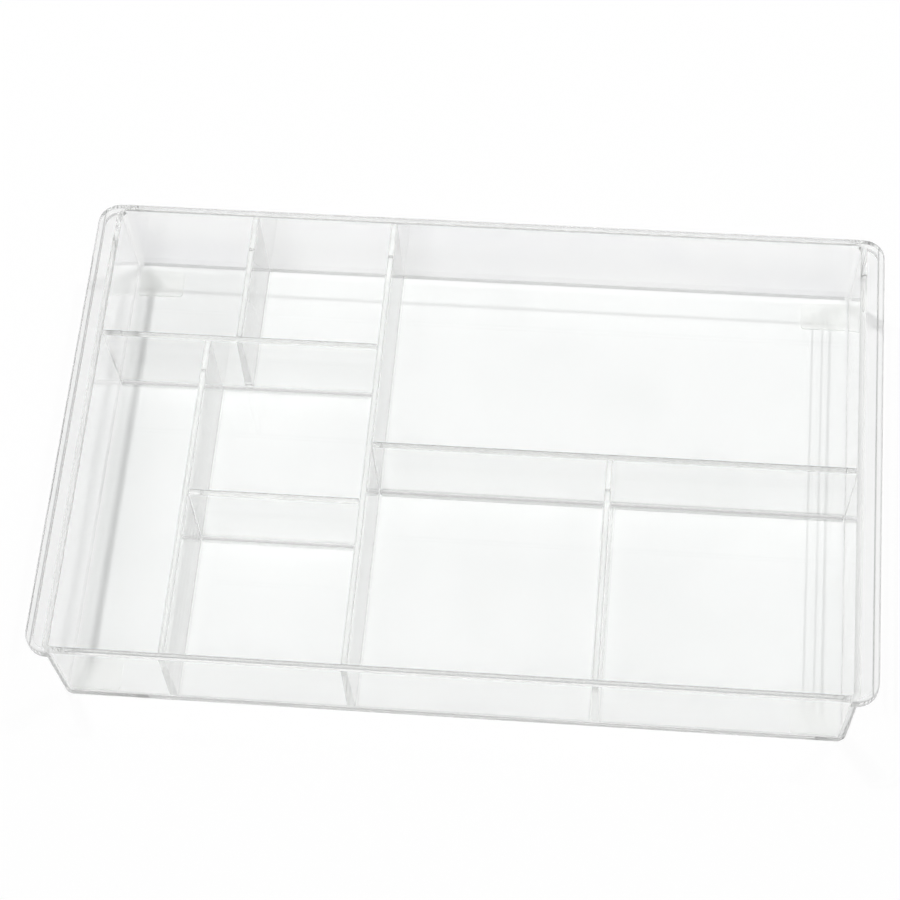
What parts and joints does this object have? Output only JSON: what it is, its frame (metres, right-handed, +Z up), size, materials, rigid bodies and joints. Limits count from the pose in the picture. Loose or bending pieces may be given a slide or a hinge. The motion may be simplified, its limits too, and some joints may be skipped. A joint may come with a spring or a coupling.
{
  "type": "drawer organizer tray",
  "caption": "Shallow clear plastic tray with upright dividers, flanged sides with turned-down lips and thin corner feet, for sorting small things in a drawer.",
  "frame": {"origin": "on the surface the feet stand on, under the middle of the tray", "axes": "+X along the long side, with the large rear compartment toward +X; the front wall faces -Y; +Z up"},
  "size_m": [0.381, 0.2412, 0.05],
  "materials": {
    "clear_plastic": "clear, polished, moulded",
    "foot_plastic": "clear, slightly hazy"
  },
  "bodies": {
    "root": {"tray_shell": "clear_plastic", "centre_divider": "clear_plastic", "left_cross_divider": "clear_plastic", "right_cross_divider": "clear_plastic", "rear_left_divider": "clear_plastic", "lane_divider": "clear_plastic", "middle_cross_divider": "clear_plastic", "front_right_divider": "clear_plastic", "foot_front_left": "foot_plastic", "foot_front_right": "foot_plastic", "foot_back_left": "foot_plastic", "foot_back_right": "foot_plastic"}
  },
  "joints": []
}
